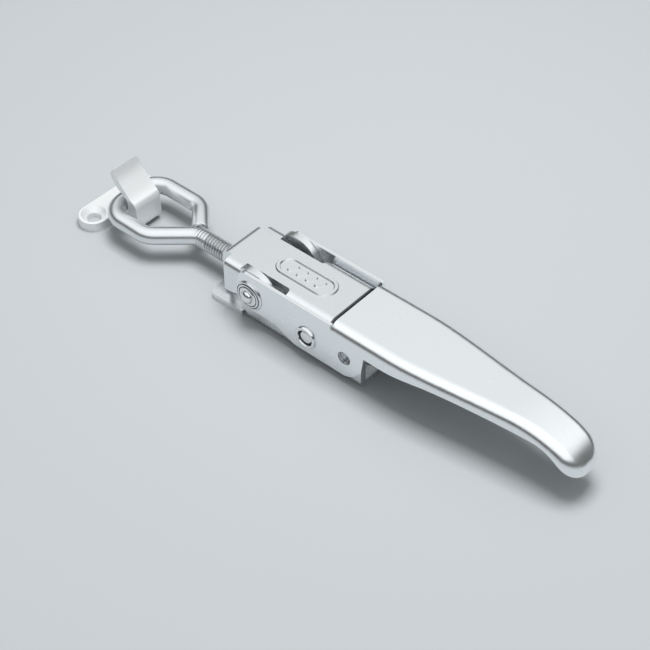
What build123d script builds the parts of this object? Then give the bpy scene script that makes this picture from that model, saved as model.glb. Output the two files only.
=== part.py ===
from build123d import *
import os

os.makedirs("parts", exist_ok=True)

# Toggle bolt latch, closed and locked over centre. All sizes are in millimetres.
# x runs from the hook keeper to the handle's tip, with 0 at the fixed pivot;
# y = 0 is the centre plane and z = 0 is the mounting plane.

# Fixed pivot and link pivot
PIVOT_Z = 22.7
PIN_R = 5.0
ARM_BORE_R = 5.06
WASHER_R = 9.5
WASHER_T = 1.5
LINK_X = 42.2
LINK_Z = 17.1
LINK_PIN_R = 6.0
LINK_BORE_R = 6.06
LINK_HEAD_R = 7.35
LINK_DIMPLE_R = 5.0

# Lever handle, sheet metal
SHEET = 2.0
ARM_OUT = 23.0
ARM_IN = 21.0
HANDLE_TOP = 37.7
HANDLE_BEND = 6.5
SEAM_X = 59.8
NOSE_X = 213.5
NOSE_HALF = 14.0
NOSE_CORNER = 12.0
SECURING_X = 69.7
SECURING_Z = 19.0
SECURING_R = 4.35

# Base bracket and link yoke, plate
PLATE = 4.0
BASE_HALF = 20.8
BASE_END = 80.0
EAR_R = 16.5
TAB_HALF = 21.2
BASE_SCREW_X = (-24.0, 70.0)
COVER_TOP = 35.1
NECK_HALF = 13.7
FRONT_X = -29.3
BADGE_RISE = 0.8
COVER_END = 57.0

# Eye bolt, M12
BOLT_Z = 16.3
SHANK_R = 6.0
ROD_R = 5.4
LOOP_HALF = 20.3
LOOP_X = -118.9
NUT_BORE_R = 6.1

# Hook keeper
LUG_X = -133.5
LUG_Y = 19.5
LUG_R = 9.7
LUG_T = 6.4
TONGUE_HALF = 10.0
SCREW_R = 4.5
SINK_R = 7.8


def slab(face, half):
    """Extrude an XZ outline to the same distance on both sides of the centre plane."""
    return extrude(Plane.XZ * face, amount=half, both=True)


def side_walls(face, outer, inner):
    """Two flat plates with the same XZ outline, one on each side."""
    return slab(face, outer) - Box(700, 2 * inner, 300)


def cross_pin(x, z, radius, length):
    """Cylinder across the latch, centred on the centre plane."""
    return Pos(x, 0, z) * Rot(90, 0, 0) * Cylinder(radius, length)


def bent_channel(x0, x1, half, web_z, rim_z, bend):
    """Plate channel along x with rounded bends between its web and its two sides."""
    down = -1 if rim_z < web_z else 1
    depth = abs(rim_z - web_z)
    edge = slice(-2, None) if down < 0 else slice(0, 2)
    outer = Pos((x0 + x1) / 2, 0, (web_z + rim_z) / 2) * Box(x1 - x0, 2 * half, depth)
    outer = fillet(outer.edges().filter_by(Axis.X).sort_by(Axis.Z)[edge], bend)
    centre = (web_z + rim_z) / 2 + down * PLATE
    inner = Pos((x0 + x1) / 2, 0, centre) * Box(x1 - x0 + 20, 2 * (half - PLATE), depth)
    inner = fillet(inner.edges().filter_by(Axis.X).sort_by(Axis.Z)[edge], bend - PLATE)
    return outer - inner


def countersunk(x, y, top):
    """Screw hole with a 90 degree countersink in a horizontal plate."""
    sink = SINK_R - SCREW_R
    return Pos(x, y, 0) * Cylinder(SCREW_R, 60) + Pos(x, y, top - sink / 2) * Cone(
        SCREW_R, SINK_R, sink
    )


def outline(*edges):
    """Face bounded by a closed chain of edges."""
    return make_face(Wire(list(edges)))


def base_bracket():
    wall = make_face(
        Polyline(
            (-8.2, -1),
            (-8.2, 37),
            (14.29, 30.95),
            (28.4, 6.5),
            (60, 6.5),
            (61, 30),
            (BASE_END, 30),
            (BASE_END, -1),
            close=True,
        )
    )
    wall = fillet(wall.vertices().sort_by(Axis.X)[-4:].sort_by(Axis.Y)[-2:], 5)
    wall = wall + Pos(0, PIVOT_Z) * Circle(EAR_R)
    wall = wall & Pos(50 - 8.2, 20) * Rectangle(100, 60)
    body = bent_channel(-8.2, BASE_END, BASE_HALF, 0, 42, 5.5) & slab(wall, 30)
    tab = Pos((-34.2 - 8.3) / 2, 0) * Rectangle(34.2 - 8.3, 2 * TAB_HALF)
    tab = fillet(tab.vertices().sort_by(Axis.X)[:2], 4.5)
    root = Pos(-5, 0) * Rectangle(12, 2 * (BASE_HALF - 5.5))
    body += extrude(tab + root, amount=PLATE)
    body -= Pos(-6.6, BASE_HALF, 0) * Box(3.4, 11, 12)
    body -= Pos(-6.6, -BASE_HALF, 0) * Box(3.4, 11, 12)
    for x in BASE_SCREW_X:
        body -= countersunk(x, 0, PLATE)
    body -= cross_pin(0, PIVOT_Z, PIN_R, 60)
    body -= cross_pin(SECURING_X, SECURING_Z, SECURING_R, 60)
    return body


def pivot_pin():
    limit = cross_pin(0, PIVOT_Z, PIN_R, 60)
    pin = cross_pin(0, PIVOT_Z, PIN_R, 49)
    for side in (-1, 1):
        pin += Pos(0, side * 19.5, PIVOT_Z) * Sphere(8) & limit
    return pin


def pivot_washers():
    ring = Cylinder(WASHER_R, WASHER_T)
    ring = chamfer(ring.edges(), 0.3) - Cylinder(PIN_R, 4)
    y = ARM_OUT + 0.1 + WASHER_T / 2
    return Compound([Pos(0, s * y, PIVOT_Z) * Rot(90, 0, 0) * ring for s in (-1, 1)])


def handle_plan(inset):
    """Plan outline of the handle, tapering to a blunt nose; inset moves it inwards."""
    start = 40 if inset else SEAM_X
    half = ARM_OUT - inset
    nose_half = NOSE_HALF - inset
    end = NOSE_X - inset
    corner = NOSE_CORNER - inset
    edges = [Line((start, -half), (start, half))]
    for side in (-1, 1):
        taper = Spline(
            (95, side * half),
            (118, side * (21.6 - inset)),
            (150, side * (17.7 - inset)),
            (180, side * (14.6 - inset)),
            (NOSE_X - NOSE_CORNER, side * nose_half),
            tangents=((1, 0), (1, 0)),
        )
        turn = TangentArc(
            (NOSE_X - NOSE_CORNER, side * nose_half),
            (end, side * (nose_half - corner)),
            tangent=(1, 0),
        )
        edges += [Line((start, side * half), (95, side * half)), taper, turn]
    edges.append(Line((end, -nose_half + corner), (end, nose_half - corner)))
    return make_face(Wire(edges))


def handle_crown(inset):
    """Side outline of everything under the handle's top, which drops at the nose."""
    top = HANDLE_TOP - inset
    end = NOSE_X + 0.7 - inset
    drop = TangentArc((170, top), (196, top - 3.9), tangent=(1, 0))
    fall = TangentArc((196, top - 3.9), (end, 20), tangent=drop % 1)
    return outline(
        Line((30, 0), (30, top)),
        Line((30, top), (170, top)),
        drop,
        fall,
        Line((end, 20), (end, 0)),
        Line((end, 0), (30, 0)),
    )


def handle_shell(inset, bend):
    """Solid under the handle's skin, rounded along the top edge."""
    body = extrude(handle_plan(inset), amount=60) & slab(handle_crown(inset), 30)
    crest = [
        e
        for e in body.edges()
        if e.center().Z > 24 and abs(e.center().Y) > 5 and e.center().X > SEAM_X + 1
        and (e @ 0).Z > 22 and (e @ 1).Z > 22
    ]
    return fillet(crest, bend)


def lever_handle():
    shell = handle_shell(0, HANDLE_BEND) - handle_shell(SHEET, HANDLE_BEND - SHEET)
    below = outline(
        Line((30, -10), (30, 29)),
        Line((30, 29), (83.2, 29)),
        Line((83.2, 29), (83.2, 27)),
        Line((83.2, 27), (94, 27)),
        Spline((94, 27), (120, 29.5), (150, 30.2), (185, 29.7), tangents=((1, 0), (1, 0))),
        Spline((185, 29.7), (200, 25), (NOSE_X + 2, 15.5), tangents=((1, 0), (1, -0.3))),
        Line((NOSE_X + 2, 15.5), (NOSE_X + 2, -10)),
        Line((NOSE_X + 2, -10), (30, -10)),
    )
    shell -= slab(below, 40)
    arm = outline(
        Line((-3.4, HANDLE_TOP), (SEAM_X, HANDLE_TOP)),
        Line((SEAM_X, HANDLE_TOP), (SEAM_X, 31)),
        Line((SEAM_X, 31), (83.2, 31)),
        Line((83.2, 31), (83.2, 27)),
        Line((83.2, 27), (81.7, 15.5)),
        Line((81.7, 15.5), (76.8, 9.6)),
        TangentArc((76.8, 9.6), (70, 6), tangent=(-0.55, -0.5)),
        Line((70, 6), (36, 6)),
        Spline((36, 6), (26.6, 9), (14, 12.5), tangents=((-1, 0), (-1, 0))),
        Line((14, 12.5), (0, 12.5)),
        TangentArc((0, 12.5), (-10.2, PIVOT_Z), tangent=(-1, 0)),
        Line((-10.2, PIVOT_Z), (-7.9, 33.6)),
        TangentArc((-7.9, 33.6), (-3.4, HANDLE_TOP), tangent=(0.2, 1)),
    )
    lever = shell + side_walls(arm, ARM_OUT, ARM_IN)
    lever -= cross_pin(0, PIVOT_Z, ARM_BORE_R, 60)
    lever -= cross_pin(LINK_X, LINK_Z, LINK_PIN_R, 60)
    lever -= cross_pin(SECURING_X, SECURING_Z, SECURING_R, 60)
    return lever


def link_pin():
    pin = cross_pin(LINK_X, LINK_Z, LINK_PIN_R, 2 * ARM_OUT)
    for side in (-1, 1):
        head = fillet(Cylinder(LINK_HEAD_R, 1.4).edges().sort_by(Axis.Z)[-1], 0.7)
        mouth = Pos(0, 0, -0.8) * Cylinder(LINK_DIMPLE_R - 0.8, 3)
        mouth += Pos(0, 0, 0.35) * Cone(LINK_DIMPLE_R - 0.8, LINK_DIMPLE_R, 0.7)
        seat = Pos(LINK_X, side * (ARM_OUT + 0.7), LINK_Z) * Rot(-90 * side, 0, 0)
        pin = pin + seat * head - seat * mouth
    return pin


def link_yoke():
    strip = Pos((FRONT_X + COVER_END) / 2, 0, COVER_TOP - PLATE / 2) * Box(
        COVER_END - FRONT_X, 2 * NECK_HALF, PLATE
    )
    wall = Pos(FRONT_X + PLATE / 2, 0, (COVER_TOP + 7.6) / 2) * Box(
        PLATE, 2 * 13.2, COVER_TOP - 7.6
    )
    strip += wall
    strip = fillet(
        strip.edges().filter_by(Axis.Y).group_by(Axis.X)[0].sort_by(Axis.Z)[-1], 5.5
    )
    front = bent_channel(-21.5, -9.4, BASE_HALF, COVER_TOP, 14, 5)
    front -= Pos(0, 0, 14) * slab(
        make_face(Polyline((-22, -1), (-16.3, 0), (-9, 2), (-9, -4), (-22, -4), close=True)), 30
    )
    skirt = make_face(
        Polyline(
            (23.5, 40),
            (COVER_END, 40),
            (COVER_END, 24),
            (LINK_X + 9.1, LINK_Z - 2.7),
            (LINK_X - 8.8, LINK_Z - 3.5),
            (23.5, 25),
            close=True,
        )
    )
    skirt += Pos(LINK_X, LINK_Z) * Circle(9.5)
    rear = bent_channel(23.5, COVER_END, BASE_HALF, COVER_TOP, 5, 6.5) & slab(skirt, 30)
    yoke = strip + front + rear
    inner_corners = [
        e
        for e in yoke.edges().filter_by(Axis.Z)
        if abs(abs(e.center().Y) - NECK_HALF) < 0.01 and e.center().X in (-9.4, 23.5)
    ]
    if inner_corners:
        yoke = fillet(inner_corners, 2.2)
    yoke -= Pos(FRONT_X, 0, BOLT_Z) * Rot(0, 90, 0) * Cylinder(6.3, 20)
    yoke -= cross_pin(LINK_X, LINK_Z, LINK_BORE_R, 60)
    rim = extrude(SlotOverall(42, 16), amount=BADGE_RISE, taper=40)
    rim -= extrude(SlotOverall(36, 10), amount=BADGE_RISE, taper=-40)
    yoke += Pos(23, 0, COVER_TOP - 0.01) * rim
    bar = extrude(Rot(0, 0, 62) * SlotOverall(8, 3.6), amount=BADGE_RISE, taper=40)
    for x in (-10, -3.3, 3.3, 10):
        yoke += Pos(23 + x, 0, COVER_TOP - 0.01) * bar
    return yoke


def anchor_nut():
    block = Pos(-18.65, 0, BOLT_Z) * Box(13.3, 22, 16)
    block = chamfer(block.edges().filter_by(Axis.X), 1.5)
    return block - Pos(-18.65, 0, BOLT_Z) * Rot(0, 90, 0) * Cylinder(NUT_BORE_R, 30)


def eye_bolt():
    path = FilletPolyline(
        (-54, 0),
        (-62.5, 0),
        (-85.5, -LOOP_HALF),
        (LOOP_X, -LOOP_HALF),
        (LOOP_X, LOOP_HALF),
        (-80, LOOP_HALF),
        (-65, 4.2),
        radius=13,
    )
    rod = sweep(Plane(path @ 0, z_dir=path % 0) * Circle(ROD_R), path=path)
    shank = Rot(0, 90, 0) * Cylinder(SHANK_R, 55)
    shank = Pos(-10.5 - 27.5, 0, 0) * chamfer(shank.edges(), 0.8)
    return Pos(0, 0, BOLT_Z) * (rod + shank)


def keeper_hook():
    lugs = Pos(LUG_X, 0) * Rot(0, 0, 90) * SlotCenterToCenter(2 * LUG_Y, 2 * LUG_R)
    web = Pos((-133 - 111) / 2, 0) * Rectangle(22, 2 * TONGUE_HALF)
    hook = extrude(lugs + web, amount=LUG_T)
    hook = fillet(hook.edges().group_by(Axis.Z)[-1].filter_by(GeomType.CIRCLE), 0.8)
    tongue = outline(
        Line((-104.7, 6.5), (-104.7, 17.5)),
        TangentArc((-104.7, 17.5), (-107.6, 22.6), tangent=(0, 1)),
        Spline((-107.6, 22.6), (-113.4, 28.4), (-118.4, 34.2), (-121.9, 40.2),
               tangents=((-0.87, 0.7), (-0.45, 1))),
        Line((-121.9, 40.2), (-125.3, 38.2)),
        Spline((-125.3, 38.2), (-123.0, 32.4), (-119.5, 27.8), (-114.0, 24.0), (-112, 19.5),
               tangents=((0.3, -1), (0, -1))),
        Line((-112, 19.5), (-112, 0)),
        Line((-112, 0), (-111.2, 0)),
        TangentArc((-111.2, 0), (-104.7, 6.5), tangent=(1, 0)),
    )
    hook += slab(tongue, TONGUE_HALF)
    tips = hook.edges().filter_by(lambda e: e.center().Z > 38 and e.length < 5)
    hook = fillet(tips, 3)
    for side in (-1, 1):
        hook -= countersunk(LUG_X, side * LUG_Y, LUG_T)
    return hook


nodes = {
    "base_bracket": base_bracket(),
    "pivot_pin": pivot_pin(),
    "pivot_washers": pivot_washers(),
    "lever_handle": lever_handle(),
    "link_pin": link_pin(),
    "link_yoke": link_yoke(),
    "anchor_nut": anchor_nut(),
    "eye_bolt": eye_bolt(),
    "keeper_hook": keeper_hook(),
}
for name, shape in nodes.items():
    export_step(shape, f"parts/{name}.step")
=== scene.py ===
from math import hypot, pi, radians, tan

import bpy
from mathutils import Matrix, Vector


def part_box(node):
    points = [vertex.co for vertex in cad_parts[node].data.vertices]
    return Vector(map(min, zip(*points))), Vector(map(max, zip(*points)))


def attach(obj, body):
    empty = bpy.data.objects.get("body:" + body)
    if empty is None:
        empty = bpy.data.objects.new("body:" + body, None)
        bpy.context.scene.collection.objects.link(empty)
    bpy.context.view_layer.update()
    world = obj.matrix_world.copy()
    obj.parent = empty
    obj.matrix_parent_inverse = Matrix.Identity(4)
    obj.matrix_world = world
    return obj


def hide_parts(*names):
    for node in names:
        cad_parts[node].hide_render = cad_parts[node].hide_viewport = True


bl_info = {
    "name": "Toggle Bolt Latch",
    "version": (1, 0, 0),
    "blender": (4, 5, 0),
    "location": "View3D > Sidebar > Latch",
    "description": "Threaded eye bolt, plated finishes and studio for an over-centre toggle latch",
    "category": "Object",
}

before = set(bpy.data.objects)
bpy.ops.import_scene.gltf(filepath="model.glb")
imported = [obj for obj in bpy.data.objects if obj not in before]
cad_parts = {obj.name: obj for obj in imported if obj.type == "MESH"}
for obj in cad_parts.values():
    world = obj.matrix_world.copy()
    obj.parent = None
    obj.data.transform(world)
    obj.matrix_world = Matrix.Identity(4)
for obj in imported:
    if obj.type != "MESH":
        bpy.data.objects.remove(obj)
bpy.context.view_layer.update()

MM = 0.001

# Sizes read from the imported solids
BOLT_LOW, BOLT_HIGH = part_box("eye_bolt")
BOLT_AXIS_Z = (BOLT_LOW.z + BOLT_HIGH.z) / 2
PIVOT_LOW, PIVOT_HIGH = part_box("pivot_pin")
WASHER_LOW, WASHER_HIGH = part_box("pivot_washers")
LINK_LOW, LINK_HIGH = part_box("link_pin")
YOKE_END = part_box("link_yoke")[1].x

# Turned ends, in mm. Each step is (how much the radius narrows, how far the face moves out).
RIVET_STEPS = (
    (0.05, 0.7), (0.5, 0.15), (0.1, -0.4), (0.45, 0.0), (0.05, 0.9), (0.35, 0.5),
    (0.05, 0.4), (0.5, 0.5), (0.7, 0.4), (0.9, 0.3), (0.9, 0.15),
)
RIVET_HEAD = 3.6
WASHER_STEPS = (
    (0.35, 0.35), (0.75, 0.05), (0.1, -0.55), (0.5, 0.0), (0.05, 0.8), (0.25, 0.15),
    (0.75, 0.0), (0.05, -0.8), (0.5, 0.0), (0.05, 0.85), (0.2, 0.15),
)
WASHER_THICKNESS = 1.5
WASHER_RELIEF = 1.0
LINK_STEPS = (
    (0.1, 0.8), (0.3, 0.4), (0.5, 0.2), (0.7, 0.0), (0.5, -0.2), (0.3, -0.5),
    (0.05, -1.6), (0.8, 0.0), (0.1, 0.9), (0.4, 0.3), (1.2, 0.1),
)
LINK_HEAD = 1.4

# Grooves painted dark as painted shade, in mm inwards from the piece's outer radius
RIVET_GROOVES = ((0.6, 1.12),)
WASHER_GROOVES = ((1.12, 1.72), (2.76, 3.32))
LINK_GROOVES = ((2.42, 3.3),)

# One pitch of thread as (part of the pitch along x, part of the thread's depth upwards)
THREAD_OUTLINE = ((0.20, 0), (0.30, 1), (0.16, 0), (0.34, -1))

# Plating: share of metal, spread of roughness and of colour, size of the clouds in mm, and how
# deep the grain is
METALLIC = 0.95
GLOSS_SPREAD = 0.015
CLOUDING = 0.015
CLOUD_SIZE = 9
GRAIN_DEPTH = 0.02 * MM

# Painted shade, from a thread's root to its crest, and along the last of the cover to its cut end
ROOT_SHADES = (0.5, 1.0)
CUT_END_SHADES = (1.0, 0.12)
CUT_END = (YOKE_END - 1.5 * MM, YOKE_END - 0.8 * MM)

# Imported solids: faces closer than the first angle are joined, edges past the second are broken
FLAT_ANGLE = radians(0.3)
SHARP_ANGLE = radians(60)

# Studio: the way to the back of the light tent, and the tent's levels at front and rear
TENT_BACK = (-0.6, 0.8, 0.0)
TENT_FRONT = 1.15
TENT_REAR = 0.84
# Brightness of the tent by height: a lit rim, a dark gap, then white cloth overhead
TENT_HEIGHTS = (
    (0.0, 0.45), (0.02, 0.30), (0.06, 0.05), (0.42, 0.03), (0.56, 0.95), (1.0, 1.0),
)
TENT_TINT = (0.97, 0.99, 1.0)

# Softbox and camera, in metres and watts
SOFTBOX_PLACE = (0.0, 0.15, 1.25)
SOFTBOX_TARGET = (0.02, 0, 0)
SOFTBOX_SIZE = 0.6
SOFTBOX_WATTS = 24
CAMERA_PLACE = (0.4419, -0.4675, 0.6124)
CAMERA_TURN = (radians(45.58), 0, radians(40.95))


def deselect_all():
    """Leave edit mode and clear the selection, so the next primitive stands alone."""
    if bpy.context.object and bpy.context.object.mode != "OBJECT":
        bpy.ops.object.mode_set(mode="OBJECT")
    bpy.ops.object.select_all(action="DESELECT")


def enter_edit(select="VERT"):
    """Edit the active piece with everything selected."""
    bpy.ops.object.mode_set(mode="EDIT")
    bpy.ops.mesh.select_mode(type=select)
    bpy.ops.mesh.select_all(action="SELECT")


def finish_mesh(obj, name, angle=35):
    """Name the piece, put its origin at the row's origin and shade it smooth by angle."""
    bpy.ops.object.mode_set(mode="OBJECT")
    bpy.ops.object.select_all(action="DESELECT")
    obj.select_set(True)
    bpy.context.view_layer.objects.active = obj
    bpy.ops.object.transform_apply(location=True, rotation=True, scale=True)
    enter_edit()
    bpy.ops.mesh.normals_make_consistent(inside=False)
    bpy.ops.object.mode_set(mode="OBJECT")
    bpy.ops.object.shade_smooth_by_angle(angle=radians(angle))
    obj.name = name
    obj.data.name = name


def new_material(name):
    """Empty material with one principled shader."""
    material = bpy.data.materials.new(name)
    material.use_nodes = True
    nodes = material.node_tree.nodes
    nodes.clear()
    out = nodes.new("ShaderNodeOutputMaterial")
    shader = nodes.new("ShaderNodeBsdfPrincipled")
    material.node_tree.links.new(shader.outputs["BSDF"], out.inputs["Surface"])
    return material, shader


def noise(material, stretch, detail):
    """Noise over object coordinates, with grains of the given size in mm along each axis."""
    nodes = material.node_tree.nodes
    link = material.node_tree.links.new
    coordinates = nodes.new("ShaderNodeTexCoord")
    mapping = nodes.new("ShaderNodeMapping")
    mapping.inputs["Scale"].default_value = [1000 / s for s in stretch]
    link(coordinates.outputs["Object"], mapping.inputs["Vector"])
    texture = nodes.new("ShaderNodeTexNoise")
    texture.inputs["Scale"].default_value = 1.0
    texture.inputs["Detail"].default_value = detail
    link(mapping.outputs["Vector"], texture.inputs["Vector"])
    return texture.outputs["Fac"]


def map_range(material, value, start, end, low, high):
    """Spread a value between start and end over low to high."""
    spread = material.node_tree.nodes.new("ShaderNodeMapRange")
    spread.inputs["From Min"].default_value = start
    spread.inputs["From Max"].default_value = end
    spread.inputs["To Min"].default_value = low
    spread.inputs["To Max"].default_value = high
    material.node_tree.links.new(value, spread.inputs["Value"])
    return spread.outputs["Result"]


def multiplied(material, colour, shade):
    """Colour times shade."""
    mix = material.node_tree.nodes.new("ShaderNodeMix")
    mix.data_type = "RGBA"
    mix.blend_type = "MULTIPLY"
    mix.inputs["Factor"].default_value = 1.0
    material.node_tree.links.new(colour, mix.inputs["A"])
    material.node_tree.links.new(shade, mix.inputs["B"])
    return mix.outputs["Result"]


def painted_root_shade(material, colour, root, crest):
    """Darken the colour towards the bolt's axis: painted shade in a thread's roots."""
    nodes = material.node_tree.nodes
    link = material.node_tree.links.new
    coordinates = nodes.new("ShaderNodeTexCoord")
    shift = nodes.new("ShaderNodeMapping")
    shift.inputs["Location"].default_value = (0, 0, -BOLT_AXIS_Z)
    link(coordinates.outputs["Object"], shift.inputs["Vector"])
    across = nodes.new("ShaderNodeVectorMath")
    across.operation = "MULTIPLY"
    across.inputs[1].default_value = (0, 1, 1)
    link(shift.outputs["Vector"], across.inputs[0])
    reach = nodes.new("ShaderNodeVectorMath")
    reach.operation = "LENGTH"
    link(across.outputs["Vector"], reach.inputs[0])
    shade = map_range(material, reach.outputs["Value"], root, crest, *ROOT_SHADES)
    return multiplied(material, colour, shade)


def painted_end_shade(material, colour, start, end):
    """Darken the colour towards a plate's cut end: painted shade for the shadow in the narrow gap
    there.
    """
    nodes = material.node_tree.nodes
    link = material.node_tree.links.new
    coordinates = nodes.new("ShaderNodeTexCoord")
    split = nodes.new("ShaderNodeSeparateXYZ")
    link(coordinates.outputs["Object"], split.inputs["Vector"])
    shade = map_range(material, split.outputs["X"], start, end, *CUT_END_SHADES)
    return multiplied(material, colour, shade)


def plated_steel(
    name, colour, roughness, stretch, depth, metallic=METALLIC, shade_root=None, shade_end=None
):
    """Plated steel with faint clouding and a fine grain, stretched by mm and of a given depth."""
    material, shader = new_material(name)
    nodes = material.node_tree.nodes
    link = material.node_tree.links.new
    fine = noise(material, stretch, detail=4)
    broad = noise(material, (CLOUD_SIZE, CLOUD_SIZE, CLOUD_SIZE), detail=3)
    gloss = map_range(
        material, broad, 0.3, 0.7, roughness - GLOSS_SPREAD, roughness + GLOSS_SPREAD
    )
    link(gloss, shader.inputs["Roughness"])
    tint = nodes.new("ShaderNodeMix")
    tint.data_type = "RGBA"
    tint.inputs["A"].default_value = [c * (1 - CLOUDING) for c in colour] + [1]
    tint.inputs["B"].default_value = [min(1, c * (1 + CLOUDING)) for c in colour] + [1]
    link(broad, tint.inputs["Factor"])
    shaded = tint.outputs["Result"]
    if shade_root:
        shaded = painted_root_shade(material, shaded, *shade_root)
    if shade_end:
        shaded = painted_end_shade(material, shaded, *shade_end)
    link(shaded, shader.inputs["Base Color"])
    bump = nodes.new("ShaderNodeBump")
    bump.inputs["Strength"].default_value = depth
    bump.inputs["Distance"].default_value = GRAIN_DEPTH
    link(fine, bump.inputs["Height"])
    link(bump.outputs["Normal"], shader.inputs["Normal"])
    shader.inputs["Metallic"].default_value = metallic
    return material


def dress(node, material, edge_mm):
    """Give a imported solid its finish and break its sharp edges."""
    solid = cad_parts[node]
    solid.data.materials.clear()
    solid.data.materials.append(material)
    flats = solid.modifiers.new("join_flats", "DECIMATE")
    flats.decimate_type = "DISSOLVE"
    flats.angle_limit = FLAT_ANGLE
    edge = solid.modifiers.new("broken_edges", "BEVEL")
    edge.width = edge_mm * MM
    edge.segments = 2
    edge.limit_method = "ANGLE"
    edge.angle_limit = SHARP_ANGLE
    edge.use_clamp_overlap = False
    edge.harden_normals = True


def colour_property(label, words, default):
    return bpy.props.FloatVectorProperty(
        name=label, description=words, default=default, size=3, min=0, max=1, subtype="COLOR"
    )


def length_property(label, words, default_mm):
    return bpy.props.FloatProperty(
        name=label, description=words, default=default_mm * MM, unit="LENGTH", subtype="DISTANCE"
    )


class LatchBolt(bpy.types.PropertyGroup):
    """Sizes of the eye bolt."""

    rod_radius: length_property("Rod radius", "Half the thickness of the loop's bar", 5.4)
    bend_radius: length_property("Bend radius", "Centre-line radius of the loop's bends", 13)
    loop_half: length_property("Loop half width", "Centre plane to the bar's centre", 20.3)
    crest_radius: length_property("Thread crest radius", "Half the thread's outer size", 5.98)
    root_radius: length_property("Thread root radius", "Half the thread's inner size", 4.95)
    pitch: length_property("Thread pitch", "Distance from crest to crest", 2.0)
    neck_x: length_property("Neck", "Where the thread ends at the loop", -65)


class LatchFinish(bpy.types.PropertyGroup):
    """Colours of the plated parts and the table."""

    sheet: colour_property("Handle", "Colour of the plated lever", (0.90, 0.925, 0.94))
    plate: colour_property("Plates", "Colour of the base and yoke", (0.82, 0.845, 0.86))
    bright: colour_property("Pins", "Colour of the turned pins", (0.82, 0.84, 0.85))
    # Dark colour painted into the turned grooves as painted shade
    painted_groove_shade: colour_property("Grooves", "Colour of the dull grooves", (0.22, 0.235, 0.24))
    bolt: colour_property("Bolt", "Colour of the eye bolt", (0.80, 0.825, 0.84))
    keeper: colour_property("Keeper", "Colour of the hook keeper", (0.87, 0.88, 0.885))
    floor: colour_property("Floor", "Colour of the table top", (0.29, 0.307, 0.316))


def bend_bar(points, radius, bar_radius, height):
    """Bar bent round a chain of points: a ring is extruded along each leg and spun at each bend."""
    bpy.ops.mesh.primitive_circle_add(
        vertices=40, radius=bar_radius, fill_type="NGON",
        location=(*points[0], height), rotation=(0, pi / 2, 0),
    )
    bar = bpy.context.object
    bpy.ops.object.transform_apply(location=True, rotation=True, scale=True)
    enter_edit("FACE")
    place = Vector(points[0])
    for i in range(1, len(points)):
        corner = Vector(points[i])
        heading = (corner - place).normalized()
        trim = turn = 0
        if i < len(points) - 1:
            leaving = (Vector(points[i + 1]) - corner).normalized()
            turn = heading.angle_signed(leaving)
            trim = radius * tan(abs(turn) / 2)
        step = corner - heading * trim - place
        bpy.ops.mesh.extrude_region_move(
            TRANSFORM_OT_translate={"value": (step.x, step.y, 0)}
        )
        place = place + step
        if not turn:
            continue
        side = -1 if turn > 0 else 1
        normal = Vector((-heading.y, heading.x)) * side
        centre = place + normal * radius
        bpy.ops.mesh.spin(
            steps=max(4, int(abs(turn) / radians(6))), angle=abs(turn),
            center=(centre.x, centre.y, height), axis=(0, 0, -side),
        )
        place = corner + leaving * trim
    return bar


def thread_skin(bolt, first_x, last_x, height):
    """One pitch of the thread's outline, screwed along the shank."""
    turns = int((last_x - first_x) / bolt.pitch)
    bpy.ops.mesh.primitive_plane_add(
        size=MM, location=(first_x, 0, height + bolt.root_radius)
    )
    skin = bpy.context.object
    enter_edit()
    bpy.ops.mesh.merge(type="CENTER")
    depth = bolt.crest_radius - bolt.root_radius
    for along, up in THREAD_OUTLINE:
        bpy.ops.mesh.extrude_vertices_move(
            TRANSFORM_OT_translate={"value": (along * bolt.pitch, 0, up * depth)}
        )
    bpy.ops.object.mode_set(mode="OBJECT")
    bpy.context.scene.cursor.location = (first_x, 0, height)
    bpy.ops.object.origin_set(type="ORIGIN_CURSOR")
    screw = skin.modifiers.new("thread", "SCREW")
    screw.axis = "X"
    screw.screw_offset = bolt.pitch
    screw.iterations = turns
    screw.steps = screw.render_steps = 36
    screw.use_merge_vertices = True
    screw.merge_threshold = 0.002 * MM
    bpy.ops.object.modifier_apply(modifier=screw.name)
    bpy.context.scene.cursor.location = (0, 0, 0)
    return skin


def round_bar(x0, x1, r0, r1, height):
    """Straight or tapered round bar along x, with r0 at its low end."""
    bpy.ops.mesh.primitive_cone_add(
        vertices=48, radius1=r0, radius2=r1, depth=x1 - x0,
        location=((x0 + x1) / 2, 0, height), rotation=(0, pi / 2, 0),
    )
    return bpy.context.object


def plain_blanks(centre, radius, spans):
    """Plain cylinders along y as one piece, each between a pair of distances."""
    deselect_all()
    parts = []
    for start, end in spans:
        bpy.ops.mesh.primitive_cylinder_add(
            vertices=64, radius=radius, depth=end - start,
            location=(centre.x, (start + end) / 2, centre.z), rotation=(pi / 2, 0, 0),
        )
        bpy.ops.object.transform_apply(location=True, rotation=True, scale=True)
        parts.append(bpy.context.object)
    for part in parts:
        part.select_set(True)
    if len(parts) > 1:
        bpy.ops.object.join()
    return parts[-1]


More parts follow.
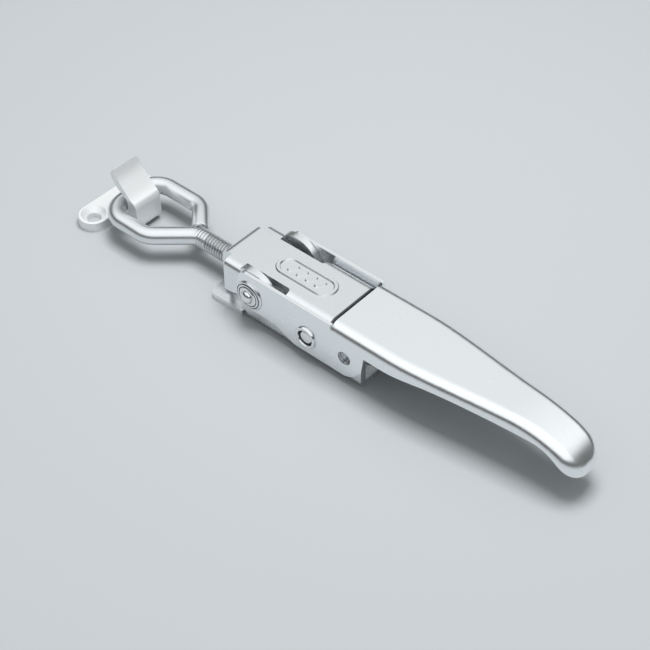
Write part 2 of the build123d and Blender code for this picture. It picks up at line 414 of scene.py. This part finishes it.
def turned_ends(name, low, high, spans, steps, grooves, finishes):
    """Turn both outer ends of the blanks, step by step, inside the box from low to high.

    The grooves take the second of the two finishes, a dark colour that paints shade into them.
    """
    centre = (low + high) / 2
    radius = (high.z - low.z) / 2
    piece = plain_blanks(centre, radius, spans)
    for side in (-1, 1):
        enter_edit("FACE")
        bpy.ops.mesh.select_all(action="DESELECT")
        bpy.ops.object.mode_set(mode="OBJECT")
        for face in piece.data.polygons:
            face.select = face.normal.y * side > 0.9 and face.center.y * side > 0
        bpy.ops.object.mode_set(mode="EDIT")
        left = radius
        for narrow, rise in steps:
            scale = (left - narrow * MM) / left
            left -= narrow * MM
            bpy.ops.mesh.extrude_region_move(
                TRANSFORM_OT_translate={"value": (0, side * rise * MM, 0)}
            )
            bpy.ops.transform.resize(value=(scale, 1, scale))
        bpy.ops.object.mode_set(mode="OBJECT")
    finish_mesh(piece, name, 30)
    for finish in finishes:
        piece.data.materials.append(finish)
    for face in piece.data.polygons:
        inwards = radius - hypot(face.center.x - centre.x, face.center.z - centre.z)
        face.material_index = int(any(a * MM < inwards < b * MM for a, b in grooves))
    return piece


class LATCH_OT_eye_bolt(bpy.types.Operator):
    """Bend the loop from round bar, screw the thread and join them into one bolt."""

    bl_idname = "latch.eye_bolt"
    bl_label = "Eye Bolt"

    def execute(self, context):
        bolt = context.scene.latch_bolt
        neck = bolt.neck_x
        end_x = BOLT_LOW.x + bolt.rod_radius
        half = bolt.loop_half
        # Out of the shank, along the near arm, round the end and back along the far arm
        points = (
            (neck + 11 * MM, 0),
            (neck + 2.5 * MM, 0),
            (neck - 20.5 * MM, -half),
            (end_x, -half),
            (end_x, half),
            (neck - 15 * MM, half),
            (neck, 4.2 * MM),
        )
        root = bolt.root_radius
        crest = bolt.crest_radius
        deselect_all()
        bar = bend_bar(points, bolt.bend_radius, bolt.rod_radius, BOLT_AXIS_Z)
        bpy.ops.mesh.bevel(offset=0.9 * MM, segments=3, affect="EDGES")
        deselect_all()
        skin = thread_skin(bolt, neck, BOLT_HIGH.x - 0.8 * MM, BOLT_AXIS_Z)
        deselect_all()
        core = round_bar(neck - 0.5 * MM, BOLT_HIGH.x, root, root, BOLT_AXIS_Z)
        deselect_all()
        collar = round_bar(neck - 1.6 * MM, neck + 0.6 * MM, root, crest, BOLT_AXIS_Z)
        colour = context.scene.latch_finish.bolt
        grain = (0.9, 0.9, 0.9)
        smooth = plated_steel("bolt_plating", colour, roughness=0.3, stretch=grain, depth=0.1)
        # The thread's roots get painted shade, darker towards the bolt's axis
        threaded = plated_steel(
            "thread_plating", colour, roughness=0.3, stretch=grain, depth=0.1,
            shade_root=(root, crest),
        )
        for part in (bar, collar):
            part.data.materials.append(smooth)
        for part in (skin, core):
            part.data.materials.append(threaded)
        deselect_all()
        for part in (bar, skin, core, collar):
            part.select_set(True)
        context.view_layer.objects.active = bar
        bpy.ops.object.join()
        finish_mesh(bar, "threaded_eye_bolt")
        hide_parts("eye_bolt")
        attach(bar, "bolt")
        return {"FINISHED"}


class LATCH_OT_pivot_rivet(bpy.types.Operator):
    """Turn the pivot's domed rivet, the stepped washers under it and the link's hollow rivet."""

    bl_idname = "latch.pivot_rivet"
    bl_label = "Rivets and Washers"

    def execute(self, context):
        colours = context.scene.latch_finish
        grain = (0.5, 0.5, 0.5)
        finishes = (
            plated_steel(
                "rivet_plating", colours.bright, roughness=0.16, stretch=grain, depth=0.1
            ),
            # Second finish: a dark colour, painted shade for the grooves
            plated_steel(
                "groove_painted_shade", colours.painted_groove_shade, roughness=0.4, stretch=grain, depth=0.1
            ),
        )
        shank = PIVOT_HIGH.y - RIVET_HEAD * MM
        rivet = turned_ends(
            "turned_rivet", PIVOT_LOW, PIVOT_HIGH, ((-shank, shank),),
            RIVET_STEPS, RIVET_GROOVES, finishes,
        )
        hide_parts("pivot_pin")
        inner = WASHER_HIGH.y - WASHER_THICKNESS * MM
        outer = WASHER_HIGH.y - WASHER_RELIEF * MM
        washers = turned_ends(
            "turned_washers", WASHER_LOW, WASHER_HIGH, ((-outer, -inner), (inner, outer)),
            WASHER_STEPS, WASHER_GROOVES, finishes,
        )
        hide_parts("pivot_washers")
        shank = LINK_HIGH.y - LINK_HEAD * MM
        link_rivet = turned_ends(
            "link_rivet", LINK_LOW, LINK_HIGH, ((-shank, shank),),
            LINK_STEPS, LINK_GROOVES, finishes,
        )
        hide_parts("link_pin")
        for piece, body in ((rivet, "base"), (washers, "base"), (link_rivet, "lever")):
            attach(piece, body)
        return {"FINISHED"}


class LATCH_OT_finishes(bpy.types.Operator):
    """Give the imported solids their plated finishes."""

    bl_idname = "latch.finishes"
    bl_label = "Plated Finishes"

    def execute(self, context):
        colours = context.scene.latch_finish
        grain = (1.5, 1.5, 1.5)
        sheet = plated_steel(
            "handle_plating", colours.sheet, roughness=0.26, stretch=(14, 1.2, 1.2), depth=0.05
        )
        plate = plated_steel(
            "plate_plating", colours.plate, roughness=0.27, stretch=grain, depth=0.03
        )
        # The cover's last 1.5 mm gets painted shade, darker towards its cut end
        yoke = plated_steel(
            "yoke_plating", colours.plate, roughness=0.27, stretch=grain, depth=0.03,
            shade_end=CUT_END,
        )
        keeper = plated_steel(
            "keeper_satin", colours.keeper, roughness=0.5, stretch=(8, 0.25, 0.25), depth=0.5,
            metallic=0.74,
        )
        dress("lever_handle", sheet, 0.35)
        dress("link_yoke", yoke, 0.35)
        dress("base_bracket", plate, 0.5)
        dress("anchor_nut", plate, 0.5)
        dress("keeper_hook", keeper, 0.6)
        return {"FINISHED"}


def tent_world():
    """White light tent overhead with a dark gap above the table, as a function of height."""
    world = bpy.data.worlds.new("light_tent")
    bpy.context.scene.world = world
    world.use_nodes = True
    nodes = world.node_tree.nodes
    link = world.node_tree.links.new
    nodes.clear()
    out = nodes.new("ShaderNodeOutputWorld")
    light = nodes.new("ShaderNodeBackground")
    coordinates = nodes.new("ShaderNodeTexCoord")
    split = nodes.new("ShaderNodeSeparateXYZ")
    ramp = nodes.new("ShaderNodeValToRGB")
    cells = ramp.color_ramp.elements
    while len(cells) < len(TENT_HEIGHTS):
        cells.new(0.5)
    for cell, (place, level) in zip(cells, TENT_HEIGHTS):
        cell.position = place
        cell.color = (*[level * tint for tint in TENT_TINT], 1)
    link(coordinates.outputs["Generated"], split.inputs["Vector"])
    link(split.outputs["Z"], ramp.inputs["Fac"])
    behind = nodes.new("ShaderNodeVectorMath")
    behind.operation = "DOT_PRODUCT"
    behind.inputs[1].default_value = TENT_BACK
    link(coordinates.outputs["Generated"], behind.inputs[0])
    strength = map_range(world, behind.outputs["Value"], 0.15, 0.65, TENT_FRONT, TENT_REAR)
    link(strength, light.inputs["Strength"])
    link(ramp.outputs["Color"], light.inputs["Color"])
    link(light.outputs["Background"], out.inputs["Surface"])


def overhead_softbox():
    """Soft light that shades the table but isn't mirrored in the plating."""
    light = bpy.data.lights.new("overhead_softbox", "AREA")
    light.shape = "SQUARE"
    light.size = SOFTBOX_SIZE
    light.energy = SOFTBOX_WATTS
    lamp = bpy.data.objects.new("overhead_softbox", light)
    bpy.context.scene.collection.objects.link(lamp)
    lamp.location = SOFTBOX_PLACE
    lamp.visible_glossy = False
    beam = Vector(SOFTBOX_TARGET) - Vector(SOFTBOX_PLACE)
    lamp.rotation_euler = beam.to_track_quat("-Z", "Y").to_euler()


class LATCH_OT_studio(bpy.types.Operator):
    """Lay the table top, hang the lights and set the camera."""

    bl_idname = "latch.studio"
    bl_label = "Studio"

    def execute(self, context):
        deselect_all()
        bpy.ops.mesh.primitive_plane_add(size=6, location=(0, 0, 0))
        floor = context.object
        floor.name = "table_top"
        material, shader = new_material("table_paint")
        shader.inputs["Base Color"].default_value = (*context.scene.latch_finish.floor, 1)
        shader.inputs["Roughness"].default_value = 0.75
        shader.inputs["Specular IOR Level"].default_value = 0.2
        floor.data.materials.append(material)
        tent_world()
        overhead_softbox()
        camera = bpy.data.cameras.new("camera")
        camera.lens = 85
        camera.sensor_width = 36
        eye = bpy.data.objects.new("camera", camera)
        context.scene.collection.objects.link(eye)
        eye.location = CAMERA_PLACE
        eye.rotation_euler = CAMERA_TURN
        context.scene.camera = eye
        context.scene.view_settings.view_transform = "Standard"
        return {"FINISHED"}


STEPS = (LATCH_OT_eye_bolt, LATCH_OT_pivot_rivet, LATCH_OT_finishes, LATCH_OT_studio)
GROUPS = (LatchBolt, LatchFinish)


class LATCH_PT_panel(bpy.types.Panel):
    """Lists the latch's steps and sizes."""

    bl_idname = "LATCH_PT_panel"
    bl_label = "Toggle Latch"
    bl_space_type = "VIEW_3D"
    bl_region_type = "UI"
    bl_category = "Latch"

    def draw(self, context):
        for group in (context.scene.latch_bolt, context.scene.latch_finish):
            for name in group.__annotations__:
                self.layout.prop(group, name)
        for step in STEPS:
            self.layout.operator(step.bl_idname)


def register():
    for cls in (*GROUPS, *STEPS, LATCH_PT_panel):
        bpy.utils.register_class(cls)
    bpy.types.Scene.latch_bolt = bpy.props.PointerProperty(type=LatchBolt)
    bpy.types.Scene.latch_finish = bpy.props.PointerProperty(type=LatchFinish)


def unregister():
    del bpy.types.Scene.latch_finish
    del bpy.types.Scene.latch_bolt
    for cls in reversed((*GROUPS, *STEPS, LATCH_PT_panel)):
        bpy.utils.unregister_class(cls)


def main():
    register()
    bpy.ops.latch.eye_bolt()
    bpy.ops.latch.pivot_rivet()
    bpy.ops.latch.finishes()
    bpy.ops.latch.studio()


if __name__ == "__main__":
    main()
